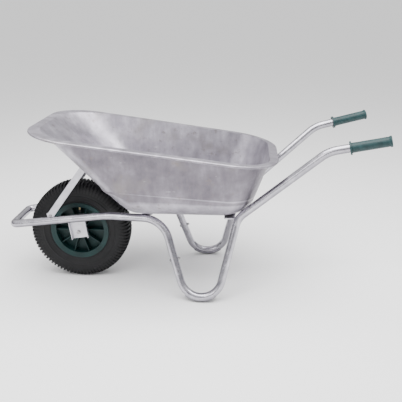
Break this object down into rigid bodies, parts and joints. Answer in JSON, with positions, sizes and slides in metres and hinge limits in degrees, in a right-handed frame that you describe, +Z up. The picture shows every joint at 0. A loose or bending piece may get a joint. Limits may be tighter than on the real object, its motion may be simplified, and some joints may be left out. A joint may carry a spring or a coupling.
{
  "type": "wheelbarrow",
  "caption": "Single-wheel wheelbarrow: a deep pressed metal tray on a bent-tube frame with splayed looped legs, a pneumatic tyre on a ribbed rim and two push-on grips.",
  "frame": {"origin": "middle of the barrow's overall box, on the ground", "axes": "+Z up, +X along the barrow from the wheel to the grips, +Y across the barrow to its right-hand side"},
  "size_m": [1.4116, 0.5836, 0.6513],
  "materials": {
    "axle_steel": "plain turned steel",
    "bush_plastic": "natural nylon",
    "cap_plastic": "black cap",
    "fastener_zinc": "bright zinc plated",
    "grip_plastic": "moulded teal green plastic",
    "rim_plastic": "moulded dark green plastic",
    "strap_zinc": "galvanised flat bar and folded sheet",
    "tray_zinc": "mottled satin galvanised sheet",
    "tube_zinc": "bright galvanised tube",
    "inner_rubber": "butyl rubber",
    "tyre_rubber": "black rubber",
    "valve_brass": "plated valve",
    "edge_steel": "plain steel"
  },
  "bodies": {
    "frame": {"axle": "axle_steel", "axle_bolts": "fastener_zinc", "axle_bracket_left": "strap_zinc", "axle_bracket_right": "strap_zinc", "axle_spacer_left": "axle_steel", "axle_spacer_right": "axle_steel", "edge_wire": "edge_steel", "front_frame": "tube_zinc", "front_seat_bar": "strap_zinc", "front_strap": "strap_zinc", "grip_left": "grip_plastic", "grip_right": "grip_plastic", "leg_joint_bolts": "fastener_zinc", "leg_joint_nuts": "fastener_zinc", "rear_seat_bar": "strap_zinc", "rear_tube_left": "tube_zinc", "rear_tube_right": "tube_zinc", "strap_foot_bolts": "fastener_zinc", "strap_foot_nuts": "fastener_zinc", "strap_head_bolts": "fastener_zinc", "strap_head_nuts": "fastener_zinc", "strap_tab_left": "strap_zinc", "strap_tab_right": "strap_zinc", "tray": "tray_zinc", "tray_floor_bolts": "fastener_zinc", "tray_floor_nuts": "fastener_zinc", "wear_shoe_left": "tube_zinc", "wear_shoe_right": "tube_zinc"},
    "wheel": {"hub_bush_left": "bush_plastic", "hub_bush_right": "bush_plastic", "inner_tube": "inner_rubber", "tyre": "tyre_rubber", "valve_cap": "cap_plastic", "valve_stem": "valve_brass", "wheel_rim": "rim_plastic"}
  },
  "joints": [
    {"name": "wheel_spin", "type": "hinge", "parent": "frame", "child": "wheel", "pos_m": [-0.44082, 0, 0.2], "axis": [0, 1, 0], "continuous": true}
  ]
}
